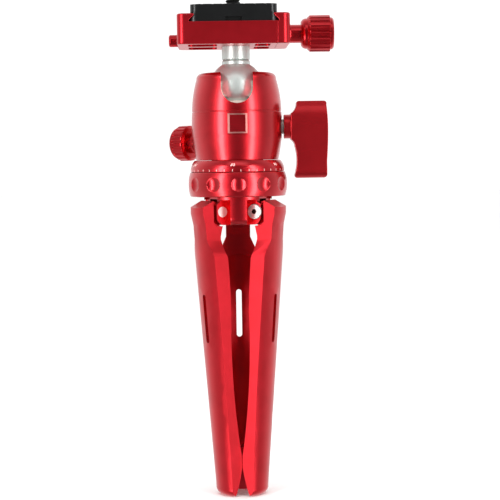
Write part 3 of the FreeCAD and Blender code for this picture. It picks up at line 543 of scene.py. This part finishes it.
def dial_number(value, angle_degrees):
    """A number as a thin mesh, bent round the dial."""
    curve = bpy.data.curves.new("number", "FONT")
    curve.body = str(value)
    curve.size = 2.1 * MM
    curve.align_x = "CENTER"
    curve.align_y = "CENTER"
    curve.extrude = 0.05 * MM
    curve.offset = 0.03 * MM
    text = bpy.data.objects.new("number", curve)
    bpy.context.scene.collection.objects.link(text)
    bpy.context.view_layer.update()
    graph = bpy.context.evaluated_depsgraph_get()
    mesh = bpy.data.meshes.new_from_object(text.evaluated_get(graph))
    bpy.data.objects.remove(text)
    middle_z = dial_z + NUMBER_RISE
    for vertex in mesh.vertices:
        across, up, out = vertex.co
        z = middle_z * MM + up * SLOPE_HEIGHT
        radius = (NUMBER_R - DIAL_SLOPE * (z / MM - middle_z)) * MM + out - NUMBER_SINK * MM
        angle = math.radians(angle_degrees) + across / radius
        vertex.co = (radius * math.cos(angle), radius * math.sin(angle), z)
    return mesh


numbers = bmesh.new()
for step in range(360 // NUMBER_STEP):
    numbers.from_mesh(dial_number(NUMBER_STEP // 2 + NUMBER_STEP * step, FIRST_TICK + NUMBER_STEP * step))
number_mesh = bpy.data.meshes.new("dial_numbers")
numbers.to_mesh(number_mesh)
numbers.free()
number_mesh.materials.append(dial_paint)
dial_numbers = bpy.data.objects.new("dial_numbers", number_mesh)
bpy.context.scene.collection.objects.link(dial_numbers)
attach(dial_numbers, "hub")
print("numbers", len(number_mesh.polygons), "faces")

# %% [markdown]
# ## The camera screw's thread
# A real thread is a ridge that winds up the screw.  A grid of columns is wound so that each turn rises by
# one pitch, and the ridge is a triangle wave of the height.

# %% Wind the thread
screw_low, screw_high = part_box("camera_screw")
pad_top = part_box("plate_pad")[1].z
thread_r = 3.175
thread_pitch = 1.27
thread_depth = 0.55
screw_x = (screw_low.x + screw_high.x) / 2


def threaded_screw():
    columns = 48
    start = pad_top / MM - 0.1
    end = screw_high.z / MM
    head = screw_low.z / MM
    profile = [(0, head), (7.4, head), (7.5, head + 0.1), (7.5, head + 1.8), (7.4, head + 1.9),
               (2.6, head + 1.9)]
    steps = 40
    profile += [(2.6, start)] + [(thread_r, start + (end - 0.5 - start) * i / steps) for i in range(steps + 1)]
    profile += [(thread_r - 0.45, end - 0.02), (thread_r - 0.5, end), (0, end)]
    piece = turned_blank("camera_screw_finished", profile, columns)
    for vertex in piece.data.vertices:
        x, y, z = vertex.co / MM
        radius = math.hypot(x, y)
        if z < start or radius < 2.55 or z > end - 0.4:
            continue
        phase = (z / thread_pitch - math.atan2(y, x) / (2 * math.pi)) % 1.0
        depth = thread_depth * abs(2 * phase - 1)
        vertex.co.x = (radius - depth) / radius * x * MM
        vertex.co.y = (radius - depth) / radius * y * MM
    piece.data.transform(Matrix.Translation((screw_x, 0, 0)))
    piece.data.materials.append(black_steel)
    piece.data.set_sharp_from_angle(angle=math.radians(40))
    stand_for(piece, "camera_screw")
    return piece


print("camera screw", len(threaded_screw().data.polygons), "faces")

# %% [markdown]
# ## What is left of the CAD nodes
# The hidden pieces, most of them inside the head and the clamp, keep their CAD meshes and take a finish.

# %% Paint the carried-over nodes
inner = {
    "hinge_washers": nylon, "pan_retainer": stainless, "pan_axle": stainless, "ball_seat": nylon,
    "ball_liner": nylon, "lock_plunger": brass, "pan_pad": brass, "pan_stud": stainless, "stem_bolt": stainless,
    "guide_pins": stainless, "clamp_screw": stainless, "jaw_spring": stainless,
    "stop_pin": stainless, "screw_clip": stainless}
for node, material in inner.items():
    mesh = nodes[node].data
    mesh.materials.clear()
    mesh.materials.append(material)
print("painted", len(inner), "inner nodes")

# %% [markdown]
# ## Floor, light and camera
# The floor and the world are white, so no horizon shows.  Polished metal shows the room instead of its own
# shade, so glossy rays see a room that is dark in front and white behind: flat fronts stay deep red.
# A tall strip in front on each side draws the bright upright band on a turned piece.  A wider, weaker
# box around each strip softens the band's edge, and a box above lights the tops of the plate and the ring.

# %% Floor and world
floor_mesh = bpy.data.meshes.new("floor")
reach = 6.0
corners = [(-reach, -reach, 0), (reach, -reach, 0), (reach, reach, 0), (-reach, reach, 0)]
floor_mesh.from_pydata(corners, [], [(0, 1, 2, 3)])
floor = bpy.data.objects.new("floor", floor_mesh)
bpy.context.scene.collection.objects.link(floor)
floor_mesh.materials.append(surface("pale_matte_floor", "F6F6F5", "FAFAF9", 0.0, 0.9, 3.0, patch_mm=400.0))
floor.visible_glossy = False
floor.visible_shadow = False

WHITE_SKY = 1.12         # what the camera and matt surfaces see
ROOM_FRONT = 0.10        # what polished metal sees in front of the object
ROOM_BACK = 0.95         # and behind it


def grey(level):
    return (level, level, level, 1.0)


world = bpy.data.worlds.new("studio")
bpy.context.scene.world = world
world.use_nodes = True
world.node_tree.nodes.clear()
sky = world.node_tree
ray = add_node(sky, "ShaderNodeLightPath")
direction = add_node(sky, "ShaderNodeTexCoord")
facing = add_node(sky, "ShaderNodeSeparateXYZ", inputs={0: direction.outputs["Generated"]})
behind = add_node(sky, "ShaderNodeMapRange", {"interpolation_type": "SMOOTHSTEP"}, {
    "Value": facing.outputs["Y"], "From Min": -0.8, "From Max": 0.6, "To Min": 0.0, "To Max": 1.0})
room = add_node(sky, "ShaderNodeMix", {"data_type": "RGBA"}, {
    0: behind.outputs["Result"], 6: grey(ROOM_FRONT), 7: grey(ROOM_BACK)})
seen = add_node(sky, "ShaderNodeMix", {"data_type": "RGBA"}, {
    0: ray.outputs["Is Glossy Ray"], 6: grey(WHITE_SKY), 7: room.outputs[2]})
glow = add_node(sky, "ShaderNodeBackground", inputs={"Color": seen.outputs[2], "Strength": 1.0})
add_node(sky, "ShaderNodeOutputWorld", inputs={"Surface": glow.outputs[0]})


# %% Soft boxes
def soft_box(name, place, width, height, power, target=(0, 0, 0.12)):
    light = bpy.data.lights.new(name, "AREA")
    light.shape = "RECTANGLE"
    light.size = width
    light.size_y = height
    light.energy = power
    lamp = bpy.data.objects.new(name, light)
    lamp.location = place
    lamp.rotation_euler = (Vector(target) - Vector(place)).to_track_quat("-Z", "Y").to_euler()
    bpy.context.scene.collection.objects.link(lamp)
    return lamp


soft_box("left_strip", (-0.60, -0.67, 0.10), 0.20, 1.4, 7.4)
soft_box("right_strip", (0.56, -0.70, 0.10), 0.20, 1.4, 6.9)
soft_box("left_wide", (-0.66, -0.68, 0.10), 0.60, 1.4, 1.4)
soft_box("right_wide", (0.66, -0.68, 0.10), 0.60, 1.4, 1.1)
soft_box("front_top_box", (0, -0.50, 0.85), 0.6, 0.35, 0.7)

# %% Camera
camera_data = bpy.data.cameras.new("camera")
camera_data.sensor_width = 36.0
camera_data.lens = 111.6
camera = bpy.data.objects.new("camera", camera_data)
bpy.context.scene.collection.objects.link(camera)
distance = 0.667
eye_height = 0.1453
camera_x = -0.0110
yaw = math.radians(-1.36)
pitch = math.radians(3.40)
roll = math.radians(-0.86)
camera.matrix_world = (Matrix.Translation((camera_x, -distance, eye_height))
                       @ Matrix.Rotation(yaw, 4, "Z") @ Matrix.Rotation(math.radians(90) - pitch, 4, "X")
                       @ Matrix.Rotation(roll, 4, "Z"))
bpy.context.scene.camera = camera
bpy.context.scene.view_settings.view_transform = "Standard"
print("camera at", tuple(round(v, 3) for v in camera.location))
